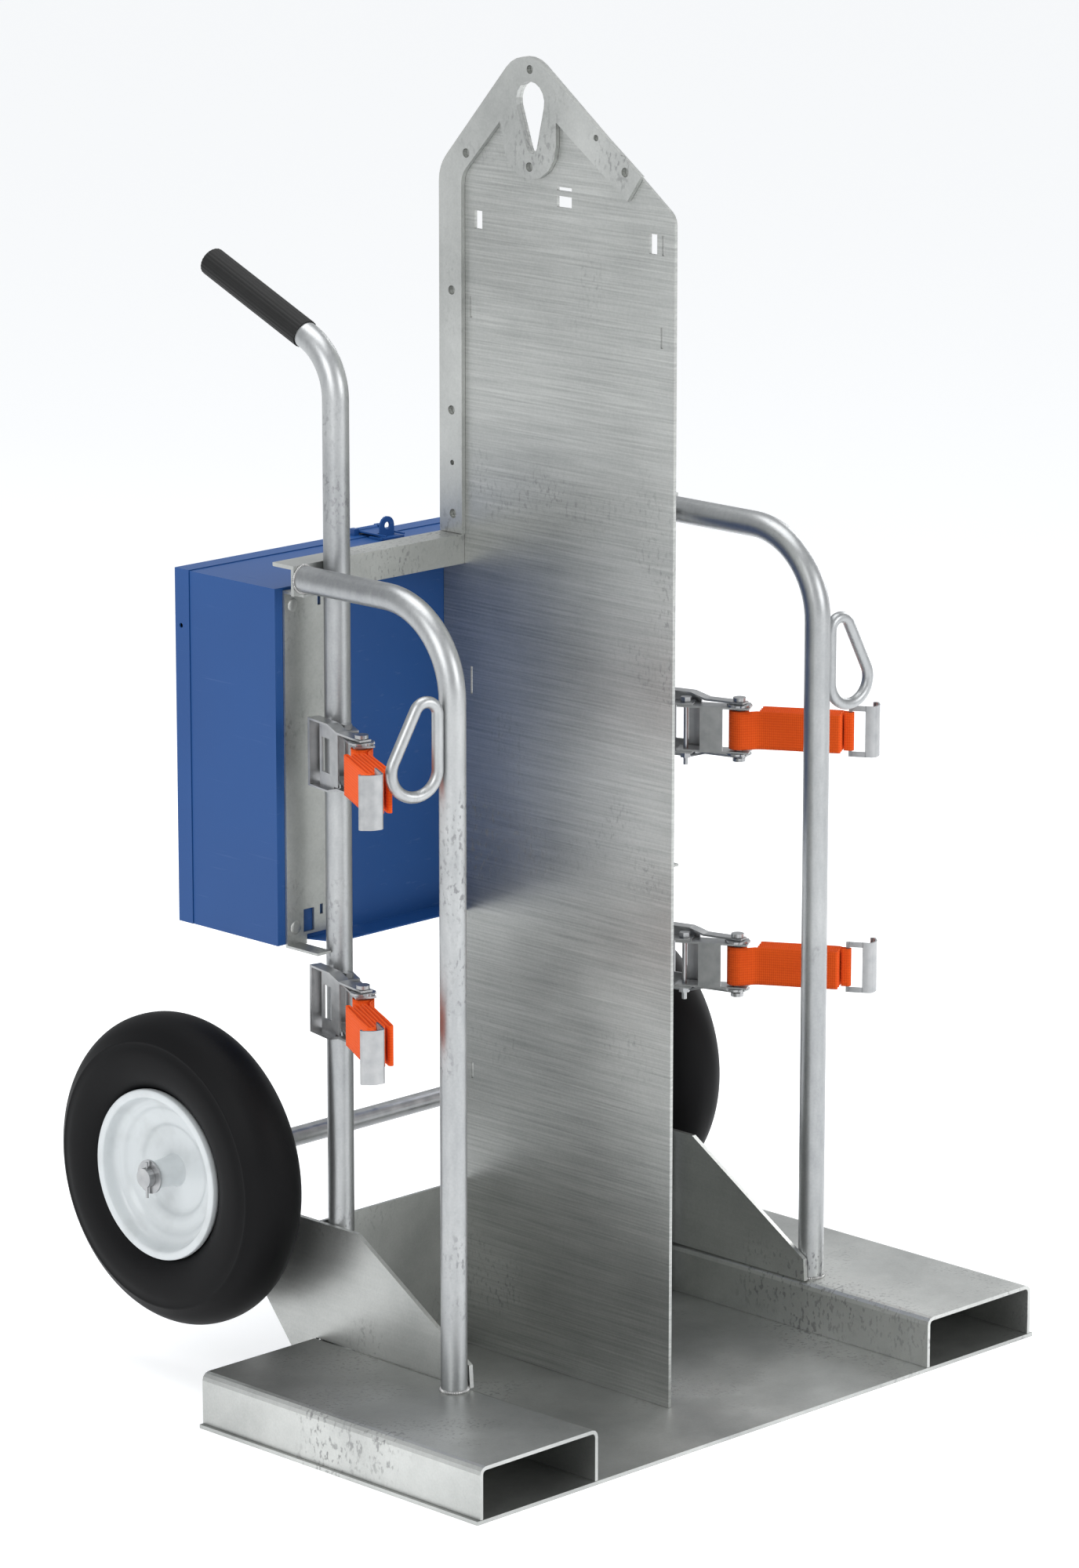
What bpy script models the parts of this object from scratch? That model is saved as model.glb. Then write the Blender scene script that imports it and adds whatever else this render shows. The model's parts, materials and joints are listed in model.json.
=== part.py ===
"""Two-cylinder gas welding cart: one named object per piece, metres, +Z up, +Y toward the wheels."""

import math

import bmesh
import bpy
from mathutils import Vector

# Driving sizes
BASE_WIDTH = 1.016
BASE_DEPTH = 0.498
PLATE = 0.0048
GAP = 0.0003
POCKET_WIDTH = 0.2009
POCKET_TOP = 0.0718
POCKET_INSET = 0.0053
PIPE = 0.0334
PIPE_WALL = 0.0034
PANEL_TOP = 0.227
WALL_X = -0.045
WALL_FRONT = -0.1228
WALL_REAR = 0.2804
LIFT_PLATE = 0.0063
ANGLE_LEG = 0.038
ANGLE_TOP = 1.0786
ANGLE_HALF = 0.3415
HOOP_X = 0.3256
HOOP_Y = -0.0215
HOOP_BEND = 0.112
POLE_X = 0.2845
HANDLE_SLOPE = math.radians(23.0)
AXLE_Y = 0.420
AXLE_Z = 0.276
AXLE_RADIUS = 0.0127
WHEEL_X = 0.382
TYRE_RADIUS = 0.2032
BOX_HALF = 0.338
BOX_FRONT = 0.2810
BOX_SEAM = 0.4385
BOX_BOTTOM = 0.5866
BOX_TOP = 1.0440
LID_DEPTH = 0.026
LID_PROUD = 0.0012
LEDGE = 0.0378
HASP_X = -0.016
SHEET = 0.002
SWIVEL_OFFSET = 0.040
SWIVEL_TURN = {"left": math.radians(28.0), "right": math.radians(32.0)}
HANDLE_LEAN = math.radians(16.0)
WEBBING = 0.0508
SWIVEL_HEIGHTS = {"left": (0.842, 0.524), "right": (0.780, 0.462)}

# Worked out from the driving sizes
HALF = BASE_WIDTH / 2
REAR = BASE_DEPTH / 2
POCKET_OUT = HALF - POCKET_INSET
POCKET_IN = POCKET_OUT - POCKET_WIDTH
GUSSET = 0.0063
GUSSET_X = POCKET_IN + 0.0002 + GUSSET / 2
ANGLE_FRONT = WALL_REAR - ANGLE_LEG
PANEL_FRONT = ANGLE_FRONT + GAP
POLE_Y = ANGLE_FRONT - PIPE / 2 - GAP
HOOP_Z = ANGLE_TOP - PIPE / 2 - 0.001
SPOOL = 0.071
SIDES = {"left": -1, "right": 1}

COLOURS = {
    "galvanised": ((0.46, 0.47, 0.45, 1), 0.45, 0.9),
    "blue_paint": ((0.05, 0.13, 0.33, 1), 0.45, 0.0),
    "zinc": ((0.62, 0.63, 0.64, 1), 0.35, 0.9),
    "webbing": ((0.85, 0.12, 0.02, 1), 0.9, 0.0),
    "rubber": ((0.014, 0.015, 0.015, 1), 0.6, 0.0),
    "grip_rubber": ((0.026, 0.028, 0.028, 1), 0.7, 0.0),
    "white_paint": ((0.62, 0.66, 0.66, 1), 0.4, 0.0),
}

for old in list(bpy.data.objects):
    bpy.data.objects.remove(old)
cart = bpy.data.collections.new("welding_cart")
cutters = bpy.data.collections.new("cutters")
bpy.context.scene.collection.children.link(cart)
bpy.context.scene.collection.children.link(cutters)


def material(kind, name):
    """A Principled material of the given kind, named after its part."""
    colour, rough, metal = COLOURS[kind]
    made = bpy.data.materials.new(name + "_" + kind)
    made.use_nodes = True
    shader = made.node_tree.nodes["Principled BSDF"]
    shader.inputs["Base Color"].default_value = colour
    shader.inputs["Roughness"].default_value = rough
    shader.inputs["Metallic"].default_value = metal
    made.diffuse_color = colour
    return made


def place(data, name, kind, group=cart):
    """Link new data as a named object; kind None marks a hidden helper."""
    thing = bpy.data.objects.new(name, data)
    group.objects.link(thing)
    if kind:
        data.materials.append(material(kind, name))
    else:
        thing.hide_render = True
        thing.display_type = "WIRE"
    return thing


def block(name, kind, low, high, group=cart):
    """A box between two corners."""
    mesh = bpy.data.meshes.new(name)
    shape = bmesh.new()
    bmesh.ops.create_cube(shape, size=1.0)
    low, high = Vector(low), Vector(high)
    bmesh.ops.scale(shape, vec=high - low, verts=shape.verts)
    bmesh.ops.translate(shape, vec=(low + high) / 2, verts=shape.verts)
    shape.to_mesh(mesh)
    shape.free()
    return place(mesh, name, kind, group)


def rod(name, kind, radius, start, end, sides=24, group=cart):
    """A solid cylinder between two points."""
    mesh = bpy.data.meshes.new(name)
    shape = bmesh.new()
    start, end = Vector(start), Vector(end)
    along = end - start
    bmesh.ops.create_cone(
        shape, cap_ends=True, segments=sides, radius1=radius, radius2=radius, depth=along.length
    )
    turn = Vector((0, 0, 1)).rotation_difference(along)
    bmesh.ops.rotate(shape, cent=(0, 0, 0), matrix=turn.to_matrix(), verts=shape.verts)
    bmesh.ops.translate(shape, vec=(start + end) / 2, verts=shape.verts)
    shape.to_mesh(mesh)
    shape.free()
    return place(mesh, name, kind, group)


def arc(centre, radius, first, last, steps):
    """Points on a circle from one angle to another, in degrees."""
    return [
        (
            centre[0] + radius * math.cos(math.radians(first + (last - first) * k / steps)),
            centre[1] + radius * math.sin(math.radians(first + (last - first) * k / steps)),
        )
        for k in range(steps + 1)
    ]


def circle(centre, radius, sides):
    """Points round a full circle."""
    return arc(centre, radius, 0, 360 - 360 / sides, sides - 1)


def window(y0, y1, z0, z1):
    """The four corners of a rectangular hole."""
    return [(y0, z0), (y1, z0), (y1, z1), (y0, z1)]


def flat(name, kind, outlines, thickness, facing, middle, group=cart):
    """A plate cut from flat outlines; facing X takes (y, z), Y takes (x, z), Z takes (x, y)."""
    data = bpy.data.curves.new(name, "CURVE")
    data.dimensions = "2D"
    data.fill_mode = "BOTH"
    data.extrude = thickness / 2
    for outline in outlines:
        line = data.splines.new("POLY")
        line.points.add(len(outline) - 1)
        line.use_cyclic_u = True
        for point, (a, b) in zip(line.points, outline):
            point.co = (-a, b, 0, 1) if facing == "Y" else (a, b, 0, 1)
    thing = place(data, name, None, group)
    turns = {
        "X": (math.pi / 2, 0, math.pi / 2),
        "Y": (math.pi / 2, 0, math.pi),
        "Z": (0, 0, 0),
    }
    thing.rotation_euler = turns[facing]
    thing.location = {"X": (middle, 0, 0), "Y": (0, middle, 0), "Z": (0, 0, middle)}[facing]
    solid = bpy.data.meshes.new_from_object(thing)
    shape = bmesh.new()
    shape.from_mesh(solid)
    bmesh.ops.remove_doubles(shape, verts=shape.verts, dist=0.00001)
    bmesh.ops.rotate(shape, cent=(0, 0, 0), matrix=thing.rotation_euler.to_matrix(), verts=shape.verts)
    bmesh.ops.translate(shape, vec=thing.location, verts=shape.verts)
    shape.to_mesh(solid)
    shape.free()
    bpy.data.objects.remove(thing)
    return place(solid, name, kind, group)


def bar(name, kind, path, radius, sides=12, closed=False, wall=0.0):
    """A round bar along a path, or a pipe open at both ends when it has a wall."""
    data = bpy.data.curves.new(name, "CURVE")
    data.dimensions = "3D"
    data.bevel_depth = radius
    data.bevel_resolution = sides // 2 - 2
    data.use_fill_caps = wall == 0.0 and not closed
    line = data.splines.new("POLY")
    line.points.add(len(path) - 1)
    line.use_cyclic_u = closed
    for point, where in zip(line.points, path):
        point.co = (*where, 1)
    thing = place(data, name, kind)
    if wall:
        shell = thing.modifiers.new("wall", "SOLIDIFY")
        shell.thickness = wall
        shell.offset = -1
        shell.use_rim = True
        shell.use_even_offset = True
    return thing


def turned(name, kind, profile, sides, centre, group=cart):
    """A closed (out, along) section turned about an X axis through the centre."""
    mesh = bpy.data.meshes.new(name)
    shape = bmesh.new()
    pairs = zip(profile, profile[1:] + profile[:1])
    area = sum(r0 * x1 - r1 * x0 for (r0, x0), (r1, x1) in pairs)
    if area > 0:
        profile = profile[::-1]
    ring = [shape.verts.new((r, 0, x)) for r, x in profile]
    for k, vert in enumerate(ring):
        shape.edges.new((vert, ring[(k + 1) % len(ring)]))
    shape.to_mesh(mesh)
    shape.free()
    thing = place(mesh, name, kind, group)
    thing.rotation_euler = (0, math.pi / 2, 0)
    thing.location = centre
    screw = thing.modifiers.new("turn", "SCREW")
    screw.axis = "Z"
    screw.steps = sides
    screw.render_steps = sides
    screw.use_merge_vertices = True
    screw.merge_threshold = 0.00001
    return thing


def cut(thing, tool, action="DIFFERENCE"):
    """Take a helper away from a piece, or join it on with UNION."""
    change = thing.modifiers.new(tool.name, "BOOLEAN")
    change.operation = action
    change.solver = "EXACT"
    change.object = tool


def hole(thing, radius, start, end, sides=16):
    """Drill a round hole."""
    cut(thing, rod(thing.name + "_drill", None, radius, start, end, sides, cutters))


def fuse(thing, low, high):
    """Join a box onto a piece."""
    cut(thing, block(thing.name + "_add", None, low, high, cutters), "UNION")


def slot(thing, low, high):
    """Cut a box out of a piece."""
    cut(thing, block(thing.name + "_slot", None, low, high, cutters))


def base_and_pockets():
    """Floor plate with an inverted channel for a lift fork along each side."""
    block("base_plate", "galvanised", (-HALF, -REAR, 0), (HALF, REAR, PLATE))
    low = PLATE + GAP
    bend = 0.010
    for side, s in SIDES.items():
        outer = [(POCKET_OUT, low)]
        outer += arc((POCKET_OUT - bend, POCKET_TOP - bend), bend, 0, 90, 3)
        outer += arc((POCKET_IN + bend, POCKET_TOP - bend), bend, 90, 180, 3)
        outer += [(POCKET_IN, low)]
        inner_bend = bend - PLATE
        outer += [(POCKET_IN + PLATE, low)]
        outer += arc((POCKET_IN + bend, POCKET_TOP - bend), inner_bend, 180, 90, 3)
        outer += arc((POCKET_OUT - bend, POCKET_TOP - bend), inner_bend, 90, 0, 3)
        outer += [(POCKET_OUT - PLATE, low)]
        outline = [(s * x, z) for x, z in outer]
        flat("fork_pocket_" + side, "galvanised", [outline], BASE_DEPTH - 0.001, "Y", 0)


def gussets_and_panel():
    """Upright side plates that carry the axle, tied by a back panel."""
    foot = POCKET_TOP + GAP
    behind = REAR + GAP
    for side, s in SIDES.items():
        outline = [(-0.032, foot), (-0.030, 0.1014), (0.172, PANEL_TOP), (0.335, PANEL_TOP)]
        outline += [(0.372, AXLE_Z + 0.032)]
        outline += arc((AXLE_Y, AXLE_Z), 0.048, 120, -50, 8)
        outline += [(0.2575, 0.0051), (behind, 0.0051), (behind, foot)]
        plate = flat("gusset_" + side, "galvanised", [outline], GUSSET, "X", s * GUSSET_X)
        far = GUSSET_X + 0.05
        start = (s * (GUSSET_X - 0.05), AXLE_Y, AXLE_Z)
        hole(plate, AXLE_RADIUS + GAP, start, (s * far, AXLE_Y, AXLE_Z), 24)
    reach = GUSSET_X - GUSSET / 2 - GAP
    rear = PANEL_FRONT + PLATE
    block(
        "back_panel", "galvanised", (-reach, PANEL_FRONT, PLATE + GAP), (reach, rear, PANEL_TOP)
    )


def wall_outline():
    """Side view of the fire wall above its vertical edges, front to rear."""
    points = arc((WALL_FRONT + 0.02, 1.5085), 0.02, 180, 125.4, 3)
    points += arc((0.1262, 1.646), 0.046, 125.4, 42.3, 6)
    points += arc((WALL_REAR - 0.05, 1.524), 0.05, 42.3, 0, 4)
    return points


def centre_wall():
    """Fire wall between the cylinders, notched for the back panel and the angle."""
    low = PLATE + GAP
    panel_rear = PANEL_FRONT + PLATE + GAP
    cut_front = ANGLE_FRONT - GAP
    leg_rear = ANGLE_FRONT + PLATE + GAP
    under = ANGLE_TOP - PLATE - GAP
    over = ANGLE_TOP + GAP
    bottom = ANGLE_TOP - ANGLE_LEG - GAP
    outline = [(WALL_FRONT, low)] + wall_outline()
    outline += [(WALL_REAR, over), (cut_front, over), (cut_front, bottom)]
    outline += [(leg_rear, bottom), (leg_rear, under), (WALL_REAR, under)]
    outline += [(WALL_REAR, BOX_BOTTOM + 0.004), (cut_front, BOX_BOTTOM + 0.004)]
    outline += [(cut_front, BOX_BOTTOM - 0.002), (WALL_REAR, BOX_BOTTOM - 0.002)]
    outline += [(WALL_REAR, low), (panel_rear, low), (panel_rear, PANEL_TOP + 0.006)]
    outline += [(cut_front, PANEL_TOP + 0.006), (cut_front, low)]
    eye = arc((0.1186, 1.638), 0.0245, -15, 195, 10) + arc((0.1159, 1.5825), 0.009, 195, 345, 5)
    slots = [
        window(0.2096, 0.2235, 1.469, 1.492),
        window(0.0528, 0.0786, 1.5315, 1.5362),
        window(0.0528, 0.0786, 1.511, 1.525),
        window(-0.0932, -0.0798, 1.470, 1.495),
        window(-0.1055, -0.1015, 1.470, 1.495),
        window(-0.1035, -0.1000, 1.356, 1.382),
        window(0.2285, 0.2320, 1.356, 1.383),
        window(0.2285, 0.2320, 0.873, 0.909),
        window(0.2285, 0.2320, 0.366, 0.387),
    ]
    flat("centre_wall", "galvanised", [outline, eye] + slots, PLATE, "X", WALL_X)


def lifting_frame():
    """Thicker frame on the wall's left face with the eye that a crane hook takes."""
    top = wall_outline()
    rise = math.radians(35.4)
    strip = 0.040
    end = (-0.0716, 1.5636)
    outline = [(end[0] + strip * math.sin(rise), end[1] - strip * math.cos(rise)), end]
    outline += top[4:]
    outline += [(WALL_REAR, ANGLE_TOP + 2 * GAP), (WALL_REAR - strip, ANGLE_TOP + 2 * GAP)]
    outline += arc((WALL_REAR - strip - 0.03, 1.5236), 0.03, 0, 45, 3)
    outline += [(0.1721, 1.6081), (0.1660, 1.590)]
    outline += arc((0.12, 1.587), 0.046, 0, -180, 8)
    outline += [(0.0740, 1.616)]
    eye = arc((0.1186, 1.638), 0.0245, -15, 195, 10) + arc((0.1159, 1.5825), 0.009, 195, 345, 5)
    spots = [
        (0.1193, 1.6771, 0.0055),
        (0.1200, 1.5568, 0.0060),
        (0.2317, 1.5632, 0.0060),
        (0.0049, 1.6037, 0.0040),
        (-0.0446, 1.5664, 0.0060),
        (0.2581, 1.3883, 0.0060),
        (0.2589, 1.2358, 0.0060),
        (0.2578, 1.1688, 0.0035),
        (0.2568, 1.1035, 0.0060),
    ]
    holes = [circle((y, z), r, 12) for y, z, r in spots]
    middle = WALL_X - PLATE / 2 - GAP - LIFT_PLATE / 2
    flat("lifting_frame", "galvanised", [outline, eye] + holes, LIFT_PLATE, "X", middle)


def angle_crossbar():
    """Steel angle across the cart, one leg down in front and one leg back on top."""
    leg = [
        (ANGLE_FRONT, ANGLE_TOP),
        (WALL_REAR, ANGLE_TOP),
        (WALL_REAR, ANGLE_TOP - PLATE + 0.001),
        (WALL_REAR - 0.001, ANGLE_TOP - PLATE),
        (ANGLE_FRONT + PLATE, ANGLE_TOP - PLATE),
        (ANGLE_FRONT + PLATE, ANGLE_TOP - ANGLE_LEG),
        (ANGLE_FRONT, ANGLE_TOP - ANGLE_LEG),
    ]
    flat("angle_crossbar", "galvanised", [leg], 2 * ANGLE_HALF, "X", 0)


def poles_and_hoops():
    """Bent pipes: handle poles at the back and cylinder hoops at the front."""
    slope_y, slope_z = math.cos(HANDLE_SLOPE), math.sin(HANDLE_SLOPE)
    bend = 0.080
    start = 1.281
    low = PLATE + GAP
    for side, s in SIDES.items():
        x = s * POLE_X
        turn = 90 - math.degrees(HANDLE_SLOPE)
        path = [(x, POLE_Y, low)]
        path += [(x, y, z) for y, z in arc((POLE_Y + bend, start), bend, 180, 180 - turn, 6)]
        y, z = path[-1][1:]
        pipe_end = 0.190
        path += [(x, y + pipe_end * slope_y, z + pipe_end * slope_z)]
        bar("pole_" + side, "galvanised", path, PIPE / 2, 12, wall=PIPE_WALL)
        grip_from, grip_to = 0.006, 0.195
        mouth = Vector((x, y + grip_from * slope_y, z + grip_from * slope_z))
        cap = Vector((x, y + grip_to * slope_y, z + grip_to * slope_z))
        inside = cap - 0.004 * Vector((0, slope_y, slope_z))
        before = mouth - 0.01 * Vector((0, slope_y, slope_z))
        grip = rod("grip_" + side, "grip_rubber", 0.0188, mouth, cap, 16)
        hole(grip, PIPE / 2 + GAP + 0.0003, before, inside, 16)
        x = s * HOOP_X
        foot = POCKET_TOP + GAP
        bend_z = HOOP_Z - HOOP_BEND
        path = [(x, HOOP_Y, foot)]
        path += [(x, y, z) for y, z in arc((HOOP_Y + HOOP_BEND, bend_z), HOOP_BEND, 180, 90, 8)]
        path += [(x, ANGLE_FRONT - GAP, HOOP_Z)]
        bar("hoop_" + side, "galvanised", path, PIPE / 2, 12, wall=PIPE_WALL)


def torch_rings():
    """A bent rod loop on each hoop that a torch hangs in."""
    rod_radius = 0.0074
    heights = {"left": 0.897, "right": 0.893}
    turns = {"left": 15, "right": -6.5}
    for side, s in SIDES.items():
        x = HOOP_X + PIPE / 2 + GAP + rod_radius
        middle = heights[side]
        loop = arc((0.032, -0.028), 0.032, 26, -180, 11)
        loop += arc((0.016, 0.040), 0.016, 180, 26, 6)
        turn = math.radians(turns[side])
        path = [
            (s * (x + 0.0005 + a * math.cos(turn)), HOOP_Y + a * math.sin(turn), middle + b)
            for a, b in loop
        ]
        bar("torch_ring_" + side, "galvanised", path, rod_radius, 10, closed=True)


def wheels():
    """Plain-tread tyres on pressed rims, free to turn on one axle and held by pins."""
    end = WHEEL_X + 0.064
    axle = rod(
        "axle", "zinc", AXLE_RADIUS, (-end, AXLE_Y, AXLE_Z), (end, AXLE_Y, AXLE_Z), 24
    )
    tyre = [(0.1037, 0.028), (0.1112, 0.0335), (0.1115, 0.040), (0.130, 0.047), (0.155, 0.049)]
    tyre += [(0.178, 0.043), (0.194, 0.030), (0.2015, 0.014), (TYRE_RADIUS, 0.0)]
    tyre += [(r, -x) for r, x in reversed(tyre[:-1])]
    rim = [(0.0134, 0.051), (0.018, 0.051), (0.018, 0.008), (0.060, 0.008), (0.098, 0.025)]
    rim += [(0.100, 0.0450), (0.1105, 0.0450), (0.1105, 0.0345), (0.1030, 0.0290)]
    rim += [(0.1030, -0.0290), (0.1105, -0.0345), (0.1105, -0.0375), (0.100, -0.0375)]
    rim += [(0.100, 0.0170), (0.062, 0.001), (0.018, 0.001), (0.018, -0.051), (0.0134, -0.051)]
    for side, s in SIDES.items():
        centre = (s * WHEEL_X, AXLE_Y, AXLE_Z)
        turned("tyre_" + side, "rubber", [(r, s * x) for r, x in tyre], 28, centre)
        turned("rim_" + side, "white_paint", [(r, s * x) for r, x in rim], 20, centre)
        x = WHEEL_X + 0.051 + GAP
        near = (s * x, AXLE_Y, AXLE_Z)
        washer = rod("washer_" + side, "zinc", 0.022, near, (s * (x + 0.003), AXLE_Y, AXLE_Z), 24)
        near = (s * (x - 0.01), AXLE_Y, AXLE_Z)
        hole(washer, AXLE_RADIUS + GAP, near, (s * (x + 0.01), AXLE_Y, AXLE_Z), 24)
        pin_x = s * (x + 0.0065)
        top, low = AXLE_Z + 0.020, AXLE_Z - 0.027
        rod("cotter_pin_" + side, "zinc", 0.002, (pin_x, AXLE_Y, low), (pin_x, AXLE_Y, top), 10)
        hole(axle, 0.0024, (pin_x, AXLE_Y, low - 0.01), (pin_x, AXLE_Y, top + 0.01), 12)


def toolbox_brackets():
    """Bent plates that hold the toolbox behind the angle, one beside each pole."""
    back = BOX_FRONT - GAP
    thick = 0.0032
    front = 0.222
    inner, outer, beside = 0.2515, 0.3250, POLE_X + PIPE / 2 + 0.0006
    low = BOX_BOTTOM - 0.004
    top = ANGLE_TOP - ANGLE_LEG - GAP
    for side, s in SIDES.items():
        step = low + 0.012
        outline = [(s * inner, step), (s * 0.2915, step), (s * 0.2915, low), (s * outer, low)]
        outline += [(s * outer, top), (s * inner, top)]
        holes = [
            window(s * 0.279, s * 0.297, low + 0.0155, low + 0.045),
            window(s * 0.264, s * 0.269, low + 0.034, low + 0.047),
            window(s * 0.264, s * 0.269, top - 0.026, top - 0.014),
        ]
        web = flat(
            "toolbox_bracket_" + side, "galvanised", [outline] + holes, thick, "Y", back - thick / 2
        )
        ends = sorted((s * beside, s * outer))
        step = back - thick / 2
        fuse(web, (ends[0], front, low), (ends[1], step, low + thick))
        fuse(web, (ends[0], front + 0.02, top - thick), (ends[1], step, top))


def toolbox():
    """Sheet-metal box open at the back, and the tray lid that hinges along its bottom."""
    body = block(
        "toolbox_body", "blue_paint", (-BOX_HALF, BOX_FRONT, BOX_BOTTOM), (BOX_HALF, BOX_SEAM, BOX_TOP)
    )
    inside = BOX_HALF - SHEET
    slot(
        body,
        (-inside, BOX_FRONT + SHEET, BOX_BOTTOM + SHEET),
        (inside, BOX_SEAM + 0.01, BOX_TOP - SHEET),
    )
    ledge = [(-0.288, BOX_FRONT + 0.001), (0.288, BOX_FRONT + 0.001)]
    ledge += [(0.288 - LEDGE * 0.4, BOX_FRONT - LEDGE), (-0.288 + LEDGE * 0.4, BOX_FRONT - LEDGE)]
    shelf = flat("ledge", None, [ledge], SHEET, "Z", BOX_BOTTOM + SHEET / 2, cutters)
    cut(body, shelf, "UNION")
    back = BOX_SEAM + GAP + 0.0003
    half, top = BOX_HALF + LID_PROUD, BOX_TOP + LID_PROUD
    lid = block(
        "toolbox_lid", "blue_paint", (-half, back, BOX_BOTTOM), (half, back + LID_DEPTH, top)
    )
    slot(
        lid,
        (SHEET - half, back - 0.01, BOX_BOTTOM + SHEET),
        (half - SHEET, back + LID_DEPTH - SHEET, top - SHEET),
    )
    hole_y, hole_z = back + 0.0152, 0.9721
    hole(lid, 0.0032, (-half - 0.01, hole_y, hole_z), (-half + 0.01, hole_y, hole_z), 12)
    pin_y, pin_z = BOX_SEAM + 0.0003, BOX_BOTTOM - 0.005
    for k in range(5):
        owner = body if k % 2 == 0 else lid
        reach = 0.10
        middle = (k - 2) * (reach + 0.001)
        start, end = middle - reach / 2, middle + reach / 2
        low_y, high_y = (pin_y - 0.014, pin_y) if owner is body else (pin_y, pin_y + 0.014)
        leaf = rod(
            "knuckle_%d" % k, None, 0.0035, (start, pin_y, pin_z), (end, pin_y, pin_z), 12, cutters
        )
        cut(owner, leaf, "UNION")
        shim = 0.0008 if owner is lid else -0.0008
        first, last = sorted((low_y + shim, high_y + shim))
        fuse(owner, (start, first, pin_z + 0.0018), (end, last, BOX_BOTTOM + 0.001))


def hasp():
    """Swinging strap on the lid that drops over a staple on the box."""
    top = BOX_TOP + GAP
    staple_y = BOX_SEAM - 0.020
    middle = HASP_X
    low = (middle - 0.020, staple_y - 0.012, top)
    foot = block("hasp_staple", "blue_paint", low, (middle + 0.020, staple_y + 0.012, top + 0.0025))
    through = top + 0.016
    loop = [(middle + 0.012, top + 0.001)] + arc((middle, through), 0.012, 0, 180, 8)
    loop += [(middle - 0.012, top + 0.001)]
    eye = circle((middle, through), 0.005, 12)
    cut(foot, flat("staple_loop", None, [loop, eye], 0.003, "Y", staple_y, cutters), "UNION")
    pin_y = BOX_SEAM + 0.018
    pin_z = top + 0.0055
    left, right = middle - 0.017, middle + 0.017
    low = (left, staple_y - 0.016, top + 0.0045)
    strap = block("hasp_strap", "blue_paint", low, (right, pin_y, top + 0.0065))
    barrel = rod("hasp_barrel", None, 0.0042, (left, pin_y, pin_z), (right, pin_y, pin_z), 12, cutters)
    cut(strap, barrel, "UNION")
    low = (middle - 0.0145, staple_y - 0.0200, top)
    slot(strap, low, (middle + 0.0145, staple_y + 0.0035, top + 0.02))
    for low, high in ((left - 0.009, left - 0.001), (right + 0.001, right + 0.009)):
        leaf = block(
            "hasp_ear",
            None,
            (low, pin_y - 0.005, BOX_TOP - 0.001),
            (high, pin_y + 0.005, pin_z + 0.004),
            cutters,
        )
        cut(bpy.data.objects["toolbox_lid"], leaf, "UNION")


def ratchet(side, level):
    """One ratchet strap: a bracket on the pole, a bolt, and the body that swivels on it."""
    s = SIDES[side]
    height = SWIVEL_HEIGHTS[side][level]
    tag = "_" + side + "_" + ("upper", "lower")[level]
    pivot = bpy.data.objects.new("swivel" + tag, None)
    cart.objects.link(pivot)
    out = math.sin(SWIVEL_TURN[side]) * s
    ahead = -math.cos(SWIVEL_TURN[side])
    pivot.location = (s * POLE_X + SWIVEL_OFFSET * out, POLE_Y + SWIVEL_OFFSET * ahead, height)
    pivot.rotation_euler = (0, 0, math.atan2(ahead, out))
    bolt_hole = 0.0036

    edge = -SWIVEL_OFFSET + PIPE / 2 + GAP
    bracket = block("strap_bracket" + tag, "zinc", (edge, -0.013, -0.0335), (edge + 0.003, 0.013, 0.0335))
    for z in (-0.0335, 0.031):
        fuse(bracket, (edge, -0.013, z), (0.011, 0.013, z + 0.0025))
    hole(bracket, bolt_hole, (0, 0, -0.05), (0, 0, 0.05), 10)

    bolt = rod("swivel_bolt" + tag, "zinc", 0.0032, (0, 0, -0.051), (0, 0, 0.036), 10)
    head = rod("head", None, 0.0075, (0, 0, 0.0339), (0, 0, 0.040), 6, cutters)
    nut = rod("nut", None, 0.0075, (0, 0, -0.0410), (0, 0, -0.0339), 6, cutters)
    cut(bolt, head, "UNION")
    cut(bolt, nut, "UNION")

    frame = block("ratchet_frame" + tag, "zinc", (-0.010, -0.013, -0.0307), (0.086, 0.013, 0.0307))
    web = sorted((-0.0105 * s, 0.020 * s))
    slot(frame, (-0.02, -0.02, -0.0282), (0.021, 0.02, 0.0282))
    slot(frame, (0.020, web[0], -0.0282), (0.052, web[1], 0.0282))
    slot(frame, (0.051, -0.02, -0.0282), (0.1, 0.02, 0.0282))
    hole(frame, bolt_hole, (0, 0, -0.05), (0, 0, 0.05), 10)
    hole(frame, 0.0066, (SPOOL, 0, -0.05), (SPOOL, 0, 0.05), 12)

    spool = rod("ratchet_spool" + tag, "zinc", 0.0062, (0, 0, -0.0425), (0, 0, 0.0425), 12)
    spool.location = (SPOOL, 0, 0)
    for z, radius, deep in ((0.0310, 0.0165, 0.0026), (0.0380, 0.0085, 0.0045)):
        for low in (z, -z - deep):
            disc = rod("disc", None, radius, (0, 0, low), (0, 0, low + deep), 12, cutters)
            disc.location = (SPOOL, 0, 0)
            disc.parent = pivot
            cut(spool, disc, "UNION")

    handle = ratchet_handle("ratchet_handle" + tag, s)
    strap = strap_bundle("strap_webbing" + tag, s)
    hook = strap_hook("strap_hook" + tag, s)
    for piece in (bracket, bolt, frame, spool, handle, strap, hook):
        piece.parent = pivot
        for change in piece.modifiers:
            change.object.parent = pivot
    for change in handle.modifiers:
        change.object.location = handle.location
        change.object.rotation_euler = handle.rotation_euler


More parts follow.
